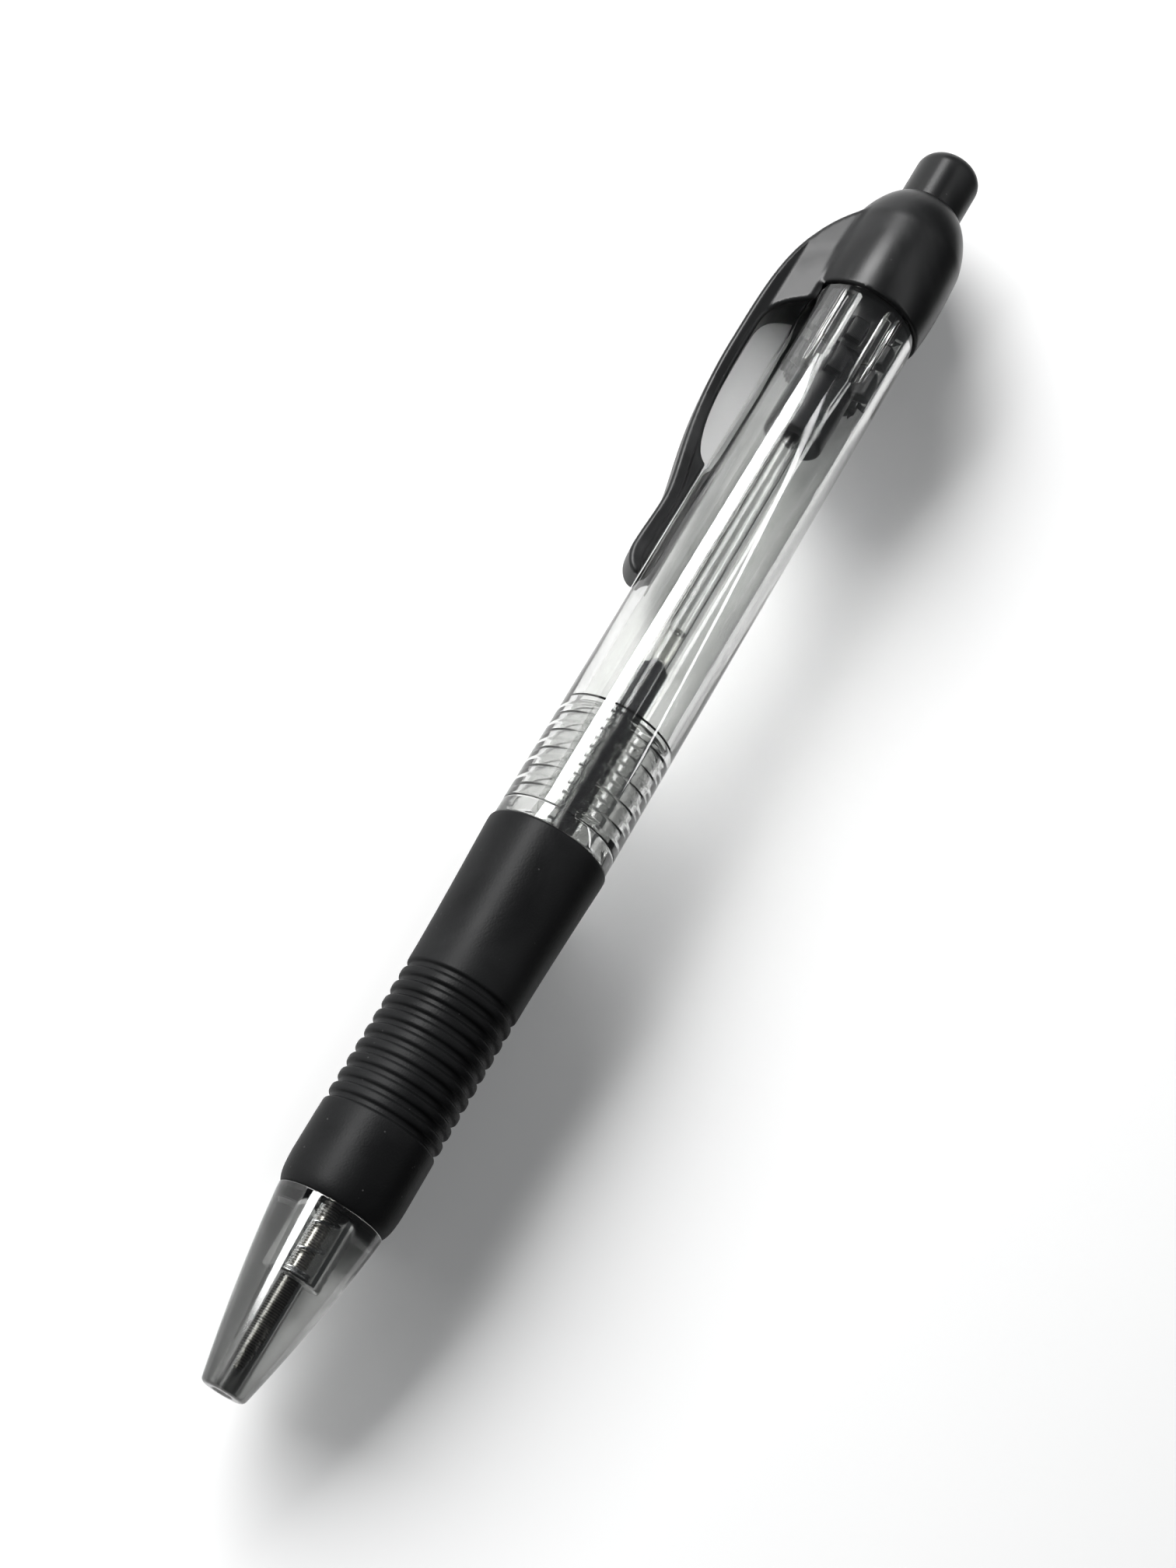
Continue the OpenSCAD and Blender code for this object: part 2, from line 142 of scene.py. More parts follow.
def place(tree, kind, inputs=(), **settings):
    """Adds a shader node. Each input is a plain value or another node's output."""
    made = tree.nodes.new("ShaderNode" + kind)
    for key, value in settings.items():
        setattr(made, key, value)
    for key, value in dict(inputs).items():
        if isinstance(value, bpy.types.NodeSocket):
            tree.links.new(value, made.inputs[key])
        else:
            made.inputs[key].default_value = value
    return made


def new_material(name):
    """An empty material, as its node tree, its output node and itself."""
    material = bpy.data.materials.new(name)
    material.use_nodes = True
    material.node_tree.nodes.clear()
    return material.node_tree, place(material.node_tree, "OutputMaterial"), material


# Marks that hands and pockets leave on the mouldings: hairline scratches mostly along the
# pen, soft smudges, specks of dust, and the fine grain of the mould itself.
marks = bpy.data.node_groups.new("handling_marks", "ShaderNodeTree")
for socket, start_value in (("Scratch Scale", 900.0), ("Smudge Scale", 130.0),
                            ("Speck Scale", 1500.0), ("Grain Scale", 9000.0)):
    made = marks.interface.new_socket(socket, in_out="INPUT", socket_type="NodeSocketFloat")
    made.default_value = start_value
for socket in ("Scratches", "Smudges", "Specks", "Grain"):
    marks.interface.new_socket(socket, in_out="OUTPUT", socket_type="NodeSocketFloat")
marks_in = marks.nodes.new("NodeGroupInput")
marks_out = marks.nodes.new("NodeGroupOutput")
at = place(marks, "TexCoord").outputs["Object"]
drawn_out = place(marks, "Mapping", {"Vector": at, "Scale": (0.07, 1.0, 1.0),
                                     "Rotation": (0.0, 0.0, 0.12)})
lines = place(marks, "TexNoise", {"Vector": drawn_out.outputs["Vector"],
                                  "Scale": marks_in.outputs["Scratch Scale"],
                                  "Detail": 3.0, "Roughness": 0.6})
lines = place(marks, "MapRange", {"Value": lines.outputs["Fac"], "From Min": 0.6,
                                  "From Max": 0.72})
marks.links.new(lines.outputs["Result"], marks_out.inputs["Scratches"])
film = place(marks, "TexNoise", {"Vector": at, "Scale": marks_in.outputs["Smudge Scale"],
                                 "Detail": 4.0, "Distortion": 0.6})
film = place(marks, "MapRange", {"Value": film.outputs["Fac"], "From Min": 0.42,
                                 "From Max": 0.72})
marks.links.new(film.outputs["Result"], marks_out.inputs["Smudges"])
cells = place(marks, "TexVoronoi", {"Vector": at, "Scale": marks_in.outputs["Speck Scale"]})
speck = place(marks, "MapRange", {"Value": cells.outputs["Distance"], "From Min": 0.16,
                                  "From Max": 0.06})
rare = place(marks, "TexNoise", {"Vector": at, "Scale": 700.0})
rare = place(marks, "MapRange", {"Value": rare.outputs["Fac"], "From Min": 0.6,
                                 "From Max": 0.66})
speck = place(marks, "Math", {0: speck.outputs["Result"], 1: rare.outputs["Result"]},
              operation="MULTIPLY")
marks.links.new(speck.outputs["Value"], marks_out.inputs["Specks"])
grain = place(marks, "TexNoise", {"Vector": at, "Scale": marks_in.outputs["Grain Scale"],
                                  "Detail": 2.0})
marks.links.new(grain.outputs["Fac"], marks_out.inputs["Grain"])


def add_marks(tree, **scales):
    """The handling marks' outputs in a material, with that material's own scales."""
    group = tree.nodes.new("ShaderNodeGroup")
    group.node_tree = marks
    for key, value in scales.items():
        group.inputs[key.replace("_", " ").title()].default_value = value
    return group.outputs


def clear_moulding(name, tint, worn_tint, roughness, scuffed, ior, seen_through=0.74,
                   gloss=0.5):
    """Clear plastic that lets light through to what is inside, with scuffs and flow lines."""
    tree, out, material = new_material(name)
    mark = add_marks(tree, scratch_scale=700.0, smudge_scale=110.0)
    colour = place(tree, "Mix", {"Factor": mark["Smudges"], 6: tint, 7: worn_tint},
                   data_type="RGBA")
    worn = place(tree, "Math", {0: mark["Scratches"], 1: mark["Smudges"]},
                 operation="MAXIMUM")
    rough = place(tree, "MapRange", {"Value": worn.outputs["Value"], "To Min": roughness,
                                     "To Max": scuffed})
    flow = place(tree, "TexNoise", {"Vector": place(tree, "TexCoord").outputs["Object"],
                                    "Scale": 160.0, "Detail": 1.0})
    height = place(tree, "Math", {0: flow.outputs["Fac"], 1: mark["Scratches"]},
                   operation="ADD")
    bump = place(tree, "Bump", {"Height": height.outputs["Value"], "Strength": 0.025,
                                "Distance": 0.0002})
    shader = place(tree, "BsdfPrincipled", {
        "Base Color": colour.outputs[2], "Roughness": rough.outputs["Result"],
        "IOR": ior, "Specular IOR Level": gloss, "Transmission Weight": 1.0,
        "Normal": bump.outputs["Normal"]})
    light = place(tree, "BsdfTransparent", {"Color": (seen_through,) * 3 + (1.0,)})
    ray = place(tree, "LightPath")
    mixed = place(tree, "MixShader", {0: ray.outputs["Is Shadow Ray"],
                                      1: shader.outputs["BSDF"], 2: light.outputs["BSDF"]})
    tree.links.new(mixed.outputs["Shader"], out.inputs["Surface"])
    return material


clear_styrene = clear_moulding("clear_styrene", (0.76, 0.765, 0.755, 1), (0.64, 0.645, 0.635, 1),
                               0.015, 0.09, 1.56)

# Columns across one rib: the angle where there is no rib, then the rib's own outline
# as a distance across and a radius
rib_outline = [(-8.9, -0.66, barrel_bore_r), (-8.0, -0.54, 4.5), (-7.2, -0.5, 4.38),
               (-6.2, -0.5, 3.68), (-5.2, -0.46, 3.56), (-4.2, -0.36, rib_inner_r),
               (-2.0, -0.15, rib_inner_r), (0.0, 0.0, rib_inner_r)]
rib_outline = rib_outline + [(-a, -y, r) for a, y, r in rib_outline[-2::-1]]
plain_angles = [-30.0, -26.0, -22.0, -18.0, -14.0, -11.2]
column_sets = []
for k in range(rib_count):
    middle = rib_spacing * k
    for a in plain_angles:
        column_sets.append((middle + a, middle + a, barrel_bore_r, -1.0, a))
    for a, y, r in rib_outline:
        column_sets.append((middle + a, middle + math.degrees(math.asin(y / r)), r, y, a))
    for a in plain_angles[:0:-1]:
        column_sets.append((middle - a, middle - a, barrel_bore_r, 1.0, -a))
bare_angle, rib_angle, rib_radius, rib_across, turn_off = np.array(column_sets).T
even_angle = -30.0 + 360.0 * np.arange(len(bare_angle)) / len(bare_angle)
# The ribs' front ends are cut on a slant; between the ribs the slant runs back to its start
slant = np.clip(rib_across + 0.5, 0, 1)
slant = np.where(turn_off < -9, 0.5 * (-9 - turn_off) / 21, slant)
slant = np.where(turn_off > 9, 1 - 0.5 * (turn_off - 9) / 21, slant)

barrel_rows = []
outer = softened([(barrel_front, 5.2, 0), (barrel_front, barrel_r, 0.14),
                  (90.0, barrel_r, 0), (cap_front, barrel_r, 0.3), (cap_front, neck_r, 0.1),
                  (neck_end, neck_r, 0.3), (neck_end, barrel_bore_r, 0.1)], 3)
for along, radius in outer:
    barrel_rows.append((radius + 0 * even_angle, even_angle, along + 0 * even_angle))
for along, ribbed in ((rib_back + rib_slope, 0), (rib_back, 1), (rib_back - 4, 1)):
    barrel_rows.append((rib_radius if ribbed else barrel_bore_r + 0 * rib_radius,
                        rib_angle if ribbed else bare_angle, along + 0 * bare_angle))
barrel_rows.append((rib_radius, rib_angle, rib_front + slant))
barrel_rows.append((barrel_bore_r + 0 * rib_radius, bare_angle, rib_front - rib_slope + slant))
for along in (104.0, 88.0, 72.0, thread_end + 0.5):
    barrel_rows.append((barrel_bore_r + 0 * bare_angle, even_angle, along + 0 * bare_angle))
barrel_rows.append((barrel_thread_r + 0 * bare_angle, even_angle,
                    thread_end + 0.15 + 0 * bare_angle))
for along in np.arange(thread_end, barrel_front + 0.2, -thread_row_step):
    ridge = thread_height(along, np.radians(even_angle), barrel_front + 0.3, thread_end)
    barrel_rows.append((barrel_thread_r - barrel_ridge * ridge, even_angle, along + 0 * bare_angle))
barrel_rows.append((4.95 + 0 * bare_angle, even_angle, barrel_front + 0 * bare_angle))
barrel_points = []
for radius, angle, along in barrel_rows:
    angle = np.radians(angle)
    barrel_points.append(np.stack([radius * np.cos(angle), radius * np.sin(angle), along], 1))
barrel = assemble("clear_barrel", np.concatenate(barrel_points),
                  ring_faces(len(barrel_rows), len(bare_angle), True), clear_styrene)
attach(barrel, "barrel")
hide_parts("barrel")

# ---- Front section ----
# The nose, the core under the grip, the flange and the screw thread are one clear moulding.
# It screws into the barrel, and its narrow bore holds the return spring and guides the point.
nose_length = 17.0
flange_front = 54.4
core_r = 4.3
section_thread_r = 4.7
section_ridge = 0.1
section_bore_r = 2.9
pocket_front = 10.6
pocket_back = 32.6
pocket_r = 1.81
orifice_r = 0.91
# How far from the nose tip, in metres, the painted shade copy of the styrene reaches
painted_shade_length = 0.0166


def turned(name, profile, material, columns=128, shape=None, closed=True, crease=38):
    """A piece turned about the pen's axis. An open profile is closed by a point on the axis."""
    angle = 2 * math.pi * np.arange(columns) / columns
    along = np.repeat(profile[:, :1], columns, 1)
    radius = np.repeat(profile[:, 1:], columns, 1)
    if shape:
        radius = shape(along, radius, angle)
    points = np.stack([radius * np.cos(angle), radius * np.sin(angle), along], 2).reshape(-1, 3)
    faces = ring_faces(len(profile), columns, closed)
    if not closed:
        ends = [[0, 0, profile[0, 0]], [0, 0, profile[-1, 0]]]
        front = len(points)
        last = (len(profile) - 1) * columns
        points = np.concatenate([points, ends])
        for c in range(columns):
            beside = (c + 1) % columns
            faces.append([c, front, beside])
            faces.append([last + c, last + beside, front + 1])
    return assemble(name, points, faces, material, crease)


def section_shape(along, radius, angle):
    """Raises the thread's ridges on the stretch that enters the barrel."""
    ridge = thread_height(along, angle, barrel_front + 0.3, thread_end)
    on_thread = (radius > 4.6) & (radius < 4.75) & (along > barrel_front + 0.2)
    return radius + section_ridge * ridge * on_thread


# A darker copy of the clear styrene for the nose: painted shade, not a different plastic
painted_shade_styrene = clear_moulding("painted_shade_styrene", (0.20, 0.203, 0.198, 1), (0.12, 0.122, 0.118, 1),
                               0.06, 0.24, 1.5, 0.4, 0.16)
nose_curve = []
for t in np.linspace(0.05, 0.97, 22):
    nose_curve.append((nose_length * t, 2.0 + 2.95 * t + t * (1 - t), 0))
section_profile = softened(
    [(0.0, orifice_r, 0.2), (0.0, 2.0, 0.8)] + nose_curve
    + [(nose_length, 4.95, 0.12), (nose_length, core_r, 0), (flange_front, core_r, 0),
       (flange_front, barrel_r, 0.14), (barrel_front - 0.04, barrel_r, 0.14),
       (barrel_front - 0.04, section_thread_r, 0)]
    + [(along, section_thread_r, 0)
       for along in np.arange(barrel_front + 0.25, thread_end - 0.3, thread_row_step)]
    + [(thread_end, section_thread_r, 0.25), (thread_end, section_bore_r, 0.15),
       (50.0, section_bore_r, 0), (pocket_back, section_bore_r, 0.1),
       (pocket_back, pocket_r, 0.15), (pocket_front, pocket_r, 0.25),
       (pocket_front, orifice_r, 0.1)])
front_section = turned("nose_and_thread", section_profile, clear_styrene, 144, section_shape)
# The nose's wall is thick, and it gets a darker copy of the clear styrene: painted shade that makes
# it look darker than the thread inside the barrel
front_section.data.materials.append(painted_shade_styrene)
for face in front_section.data.polygons:
    if face.center.x - nose_x < painted_shade_length:
        face.material_index = 1
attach(front_section, "section")
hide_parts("front_section")

# ---- Grip sleeve ----
# A soft black rubber sleeve is pushed over the section's core. Ten shallow grooves run
# round it, its front edge is rounded, and its rear flares out a little past the barrel.
grip_front = 17.0
waist_r = 5.42
rear_r = 5.94
flare_start = 40.0
groove_first = 25.3
groove_step = 1.467
groove_count = 10
groove_depth = 0.34
sleeve_bore_r = 4.32


def sleeve_r(along):
    """Outer radius of the sleeve between the grooves."""
    over = max(along - flare_start, 0) / 14.4
    return waist_r + (rear_r - waist_r) * over ** 1.3


sleeve_corners = [(grip_front, sleeve_bore_r, 0.1),
                  (grip_front, 4.9, 0.5), (grip_front + 0.9, 5.26, 0.6),
                  (grip_front + 2.4, waist_r, 0.8), (23.6, waist_r, 0.6)]
for k in range(groove_count):
    middle = groove_first + groove_step * k
    r = waist_r
    sleeve_corners += [(middle - 0.40, r - 0.02, 0.18), (middle - 0.22, r - groove_depth, 0.12),
                       (middle + 0.22, r - groove_depth, 0.12), (middle + 0.40, r - 0.02, 0.18)]
    if k < groove_count - 1:
        sleeve_corners.append((middle + groove_step / 2, r, 0.25))
sleeve_corners.append((39.2, waist_r, 0.5))
for along in np.linspace(flare_start + 0.6, 53.6, 12):
    sleeve_corners.append((along, sleeve_r(along), 0))
sleeve_corners += [(flange_front - 0.02, rear_r - 0.03, 0.3),
                   (flange_front - 0.02, sleeve_bore_r, 0.1)]

tree, out, grip_rubber = new_material("grip_rubber")
mark = add_marks(tree, scratch_scale=500.0, smudge_scale=90.0, speck_scale=1700.0,
                 grain_scale=5200.0)
shade = place(tree, "Mix", {"Factor": mark["Smudges"], 6: (0.0035, 0.0036, 0.0038, 1),
                            7: (0.008, 0.0082, 0.0085, 1)}, data_type="RGBA")
dusty = place(tree, "Math", {0: mark["Specks"], 1: 0.35}, operation="MULTIPLY")
shade = place(tree, "Mix", {"Factor": dusty.outputs["Value"], 6: shade.outputs[2],
                            7: (0.10, 0.10, 0.10, 1)}, data_type="RGBA")
rough = place(tree, "MapRange", {"Value": mark["Smudges"], "To Min": 0.4, "To Max": 0.54})
bump = place(tree, "Bump", {"Height": mark["Grain"], "Strength": 0.25, "Distance": 0.00006})
shader = place(tree, "BsdfPrincipled", {
    "Base Color": shade.outputs[2], "Roughness": rough.outputs["Result"], "IOR": 1.5,
    "Specular IOR Level": 0.07, "Normal": bump.outputs["Normal"]})
tree.links.new(shader.outputs["BSDF"], out.inputs["Surface"])
sleeve = turned("rubber_grip", softened(sleeve_corners, 4), grip_rubber, 144)
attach(sleeve, "section")
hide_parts("grip_sleeve")

# ---- Return spring ----
# Ten coils of drawn spring steel wire, with both end coils closed and flat. It stands
# in the nose's narrow bore and pushes the refill back when the button lets go.
coil_count = 10
closed_turns = 1.5
wire_r = 0.165
coil_r = 1.38
spring_front = 10.7
spring_length = 18.2
closed_pitch = 0.34
wire_columns = 12
tree, out, spring_steel = new_material("spring_steel")
mark = add_marks(tree, scratch_scale=2600.0, smudge_scale=300.0)
shade = place(tree, "Mix", {"Factor": mark["Smudges"], 6: (0.72, 0.73, 0.75, 1),
                            7: (0.50, 0.50, 0.51, 1)}, data_type="RGBA")
rough = place(tree, "MapRange", {"Value": mark["Scratches"], "To Min": 0.16, "To Max": 0.38})
bump = place(tree, "Bump", {"Height": mark["Scratches"], "Strength": 0.1,
                            "Distance": 0.00003})
shader = place(tree, "BsdfPrincipled", {
    "Base Color": shade.outputs[2], "Roughness": rough.outputs["Result"], "Metallic": 1.0,
    "Normal": bump.outputs["Normal"]})
tree.links.new(shader.outputs["BSDF"], out.inputs["Surface"])
turn = np.linspace(0, coil_count, coil_count * 36 + 1)
flat_rise = closed_pitch * (np.minimum(turn, closed_turns)
                    + np.maximum(turn - coil_count + closed_turns, 0))
open_turns = coil_count - 2 * closed_turns
open_rise = spring_length - closed_pitch * (2 * closed_turns + 1)
share = np.clip((turn - closed_turns) / open_turns, 0, 1)
wire_height = spring_front + closed_pitch / 2 + flat_rise + open_rise * share
round_wire = 2 * math.pi * np.arange(wire_columns) / wire_columns
wire_reach = coil_r + wire_r * np.cos(round_wire)[None, :]
wire_turn = (2 * math.pi * turn)[:, None]
wire_points = np.stack([wire_reach * np.cos(wire_turn), wire_reach * np.sin(wire_turn),
                        wire_height[:, None] + wire_r * np.sin(round_wire)[None, :]], 2)
wire_faces = [face[::-1] for face in ring_faces(len(turn), wire_columns, False)]
wire_faces.append(list(range(wire_columns)))
last_ring = wire_columns * (len(turn) - 1)
wire_faces.append([last_ring + k for k in range(wire_columns - 1, -1, -1)])
spring = assemble("coil_spring", wire_points.reshape(-1, 3), wire_faces, spring_steel, 60)
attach(spring, "spring")
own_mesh(spring)
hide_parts("return_spring")

# ---- Metal point and writing ball ----
# The point is turned from nickel silver: a cone that is crimped round the ball, a shoulder
# and a shank with fine tool rings, pressed into the holder. The ball is hard polished metal.
tree, out, point_metal = new_material("point_metal")
mark = add_marks(tree, scratch_scale=2600.0, smudge_scale=400.0)
where = place(tree, "TexCoord").outputs["Object"]
rings = place(tree, "TexWave", {"Vector": where, "Scale": 1400.0, "Distortion": 0.6,
                                "Detail": 2.0}, wave_type="BANDS", bands_direction="X")
shade = place(tree, "Mix", {"Factor": mark["Smudges"], 6: (0.56, 0.54, 0.50, 1),
                            7: (0.36, 0.35, 0.33, 1)}, data_type="RGBA")
rough = place(tree, "MapRange", {"Value": rings.outputs["Fac"], "To Min": 0.2,
                                 "To Max": 0.36})
bump = place(tree, "Bump", {"Height": rings.outputs["Fac"], "Strength": 0.12,
                            "Distance": 0.00002})
shader = place(tree, "BsdfPrincipled", {
    "Base Color": shade.outputs[2], "Roughness": rough.outputs["Result"], "Metallic": 1.0,
    "Normal": bump.outputs["Normal"]})
tree.links.new(shader.outputs["BSDF"], out.inputs["Surface"])
point_profile = softened([
    (2.31, 0.375, 0.02), (2.31, 0.39, 0.02), (2.5, 0.42, 0.05), (4.25, 0.80, 0.05),
    (4.4, 0.83, 0.04), (6.2, 0.83, 0.04), (6.32, 0.76, 0.04), (6.62, 0.76, 0.04),
    (6.74, 0.83, 0.04), (16.1, 0.83, 0.06), (19.2, 0.83, 0.1), (19.2, 0.4, 0.05),
    (4.4, 0.4, 0.05), (4.3, 0.21, 0.03), (2.6, 0.21, 0.05), (2.5, 0.36, 0.04)])
point = turned("metal_point", point_profile, point_metal, 96)
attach(point, "refill")
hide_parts("point_body")

tree, out, ball_metal = new_material("ball_metal")
mark = add_marks(tree, scratch_scale=4000.0, smudge_scale=900.0)
shade = place(tree, "Mix", {"Factor": mark["Smudges"], 6: (0.62, 0.63, 0.65, 1),
                            7: (0.30, 0.30, 0.31, 1)}, data_type="RGBA")
rough = place(tree, "MapRange", {"Value": mark["Scratches"], "To Min": 0.08, "To Max": 0.2})
shader = place(tree, "BsdfPrincipled", {
    "Base Color": shade.outputs[2], "Roughness": rough.outputs["Result"], "Metallic": 1.0})
tree.links.new(shader.outputs["BSDF"], out.inputs["Surface"])
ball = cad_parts["writing_ball"]
ball.data.materials.clear()
ball.data.materials.append(ball_metal)

# ---- Tip holder ----
# A small moulded plug joins the metal point to the ink tube. Its collar takes the push of
# the spring, and a narrow ink way runs through it.
holder_plastic = clear_moulding("holder_plastic", (0.88, 0.89, 0.88, 1),
                                (0.78, 0.79, 0.78, 1), 0.12, 0.24, 1.5, 0.85)
holder_profile = softened([
    (16.2, 0.86, 0.05), (16.2, 1.13, 0.15), (24.0, 1.13, 0), (28.98, 1.13, 0.05),
    (28.98, 1.65, 0.12), (30.58, 1.65, 0.1), (30.58, 0.85, 0), (34.6, 0.85, 0.15),
    (34.6, 0.4, 0.05), (19.3, 0.4, 0.05), (19.23, 0.86, 0.03)])
holder = turned("tip_holder_plug", holder_profile, holder_plastic, 72)
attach(holder, "refill")
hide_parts("tip_holder")

# ---- Ink tube ----
# A drawn polypropylene tube with a thick wall and a narrow bore. It is pushed onto the
# holder's plug in front and into the cam's socket behind.
tube_plastic = clear_moulding("tube_plastic", (0.90, 0.905, 0.90, 1), (0.82, 0.825, 0.82, 1),
                              0.07, 0.16, 1.49, 0.88)
tube_profile = softened([
    (30.62, 0.875, 0.05), (30.62, 1.65, 0.12), (70.0, 1.65, 0), (106.3, 1.65, 0.15),
    (106.3, 0.875, 0.05), (70.0, 0.875, 0)])
tube = turned("ink_tube", tube_profile, tube_plastic, 96)
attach(tube, "refill")
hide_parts("refill_tube")

# ---- Ink and grease ----
# A column of black gel ink fills the front of the bore. A plug of pale grease follows it,
# with the ink's rounded end pressed into its front.
tree, out, gel_ink = new_material("gel_ink")
mark = add_marks(tree, smudge_scale=240.0, grain_scale=5000.0)
shade = place(tree, "Mix", {"Factor": mark["Smudges"], 6: (0.004, 0.004, 0.005, 1),
                            7: (0.014, 0.014, 0.016, 1)}, data_type="RGBA")
rough = place(tree, "MapRange", {"Value": mark["Grain"], "To Min": 0.16, "To Max": 0.3})
bump = place(tree, "Bump", {"Height": mark["Smudges"], "Strength": 0.1,
                            "Distance": 0.00005})
shader = place(tree, "BsdfPrincipled", {
    "Base Color": shade.outputs[2], "Roughness": rough.outputs["Result"], "IOR": 1.45,
    "Normal": bump.outputs["Normal"]})
tree.links.new(shader.outputs["BSDF"], out.inputs["Surface"])
ink_profile = softened([(34.63, 0.1, 0), (34.63, 0.88, 0.05), (54.0, 0.88, 0),
                        (75.1, 0.88, 0.4), (75.35, 0.5, 0.2), (75.38, 0.1, 0)])
ink = turned("ink_column", ink_profile, gel_ink, 64, closed=False)
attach(ink, "refill")
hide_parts("gel_ink")

follower_grease = clear_moulding("follower_grease", (0.80, 0.80, 0.76, 1),
                                 (0.62, 0.62, 0.58, 1), 0.1, 0.3, 1.46, 0.8)
grease_profile = softened([(75.44, 0.1, 0), (75.44, 0.5, 0.2), (75.25, 0.85, 0.1),
                           (78.98, 0.85, 0.05), (78.7, 0.6, 0.1), (78.5, 0.1, 0)])
grease = turned("grease_plug", grease_profile, follower_grease, 64, closed=False)
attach(grease, "refill")
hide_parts("ink_follower")

# ---- Rotor cam ----
# A black moulding between refill and button. Its six splines run between the barrel's ribs,
# its notches take the button's teeth, and its stem keeps it straight inside the button.
cam_r = 3.0
cam_front = 102.4
cam_back = 112.6
spline_front = 109.2
spline_r = 4.39


def soft_max(a, b, k):
    """The larger of two distances, with the edge between them rounded over about k."""
    h = np.maximum(k - np.abs(a - b), 0)
    return np.maximum(a, b) + h * h / (4 * k)


def soft_min(a, b, k):
    """The smaller of two distances, with the corner between them filled over about k."""
    return -soft_max(-a, -b, k)


def skin(field, low, high, step):
    """Quads round the space where field is below 0, with every corner slid onto its edge."""
    low = np.array(low, float)
    counts = np.ceil((np.array(high) - low) / step).astype(int) + 1
    grid = np.stack(np.meshgrid(*[np.arange(n) for n in counts], indexing="ij"), -1)
    value = field(low + grid.reshape(-1, 3) * step).reshape(counts)
    inside = value < 0
    cells = counts - 1
    total = np.zeros(tuple(cells) + (3,))
    crossings = np.zeros(cells)
    for axis in range(3):
        for u in (0, 1):
            for v in (0, 1):
                near = np.zeros(3, int)
                near[(axis + 1) % 3] = u
                near[(axis + 2) % 3] = v
                far = near.copy()
                far[axis] = 1
                a = tuple(slice(n, n + c) for n, c in zip(near, cells))
                b = tuple(slice(n, n + c) for n, c in zip(far, cells))
                cut = inside[a] != inside[b]
                drop = np.where(cut, value[a] - value[b], 1.0)
                share = np.where(cut, value[a] / drop, 0.0)
                crossings += cut
                for d in range(3):
                    total[..., d] += cut * (near[d] + (share if d == axis else 0.0))
    used = crossings > 0
    number = np.full(cells, -1)
    number[used] = np.arange(used.sum())
    points = low + step * (np.argwhere(used) + total[used] / crossings[used][:, None])
    faces = []
    for axis in range(3):
        u = (axis + 1) % 3
        v = (axis + 2) % 3
        span = [slice(0, n - 1) for n in counts]
        span[u] = slice(1, counts[u] - 1)
        span[v] = slice(1, counts[v] - 1)
        ahead = list(span)
        ahead[axis] = slice(1, counts[axis])
        for full in (True, False):
            here = (inside[tuple(span)] == full) & (inside[tuple(ahead)] != full)
            spot = np.argwhere(here)
            spot[:, u] += 1
            spot[:, v] += 1
            ring = []
            for du, dv in ((1, 1), (0, 1), (0, 0), (1, 0)):
                cell = spot.copy()
                cell[:, u] -= du
                cell[:, v] -= dv
                ring.append(number[tuple(cell.T)])
            quads = np.stack(ring, 1)
            faces.append(quads if full else quads[:, ::-1])
    for _ in range(4):
        here = field(points)
        slope = np.zeros_like(points)
        for d in range(3):
            nudge = np.zeros(3)
            nudge[d] = 0.02
            slope[:, d] = (field(points + nudge) - field(points - nudge)) / 0.04
        steepness = np.maximum((slope ** 2).sum(1), 0.25)
        points = points - slope * np.clip(here / steepness, -step / 3, step / 3)[:, None]
    return points, np.concatenate(faces).tolist()


def folded(points, offset):
    """A sixfold pattern as one sixth of it: distance across its middle, radius and angle."""
    angle = np.arctan2(points[:, 1], points[:, 0]) - math.radians(offset)
    angle = (angle + math.pi / 6) % (math.pi / 3) - math.pi / 6
    radius = np.hypot(points[:, 0], points[:, 1])
    return radius * np.sin(angle), radius


def tooth(points, grow):
    """Wedges that point towards the nose, where button and cam meet."""
    across, _ = folded(points, 0)
    return (np.abs(across) - 0.9 - grow - (points[:, 2] - cam_back) * 0.9) * 0.74


def cam_field(points):
    """Distance to the cam: body, splines with slanted ends, notches, stem and socket."""
    along = points[:, 2]
    across, radius = folded(points, 30)
    body = soft_max(soft_max(radius - cam_r, cam_front - along, 0.3), along - cam_back, 0.15)
    end = (along - 111.9 + across * 0.625) * 0.85
    spline = soft_max(np.abs(across) - 0.8, radius - spline_r, 0.2)
    spline = soft_max(soft_max(spline, spline_front - along, 0.2), end, 0.15)
    solid = soft_min(body, spline, 0.2)
    solid = soft_max(solid, -tooth(points, 0.05), 0.1)
    stem = soft_max(radius - 1.5, np.abs(along - 114.6) - 5.0, 0.3)
    solid = soft_min(solid, stem, 0.15)
    return soft_max(solid, -np.maximum(radius - 1.67, along - 106.4), 0.1)


tree, out, cam_plastic = new_material("cam_plastic")
mark = add_marks(tree, scratch_scale=1200.0, smudge_scale=260.0, grain_scale=7000.0)
shade = place(tree, "Mix", {"Factor": mark["Smudges"], 6: (0.004, 0.004, 0.0045, 1),
                            7: (0.010, 0.010, 0.0105, 1)}, data_type="RGBA")
rough = place(tree, "MapRange", {"Value": mark["Smudges"], "To Min": 0.3, "To Max": 0.5})
bump = place(tree, "Bump", {"Height": mark["Grain"], "Strength": 0.12, "Distance": 0.00005})
shader = place(tree, "BsdfPrincipled", {
    "Base Color": shade.outputs[2], "Roughness": rough.outputs["Result"], "IOR": 1.5,
    "Specular IOR Level": 0.15, "Normal": bump.outputs["Normal"]})
tree.links.new(shader.outputs["BSDF"], out.inputs["Surface"])
cam_points, cam_faces = skin(cam_field, (-4.8, -4.8, 101.8), (4.8, 4.8, 120.2), 0.2)
cam = assemble("rotor_cam_spline", cam_points, cam_faces, cam_plastic, 50)
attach(cam, "refill")
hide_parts("rotor_cam")

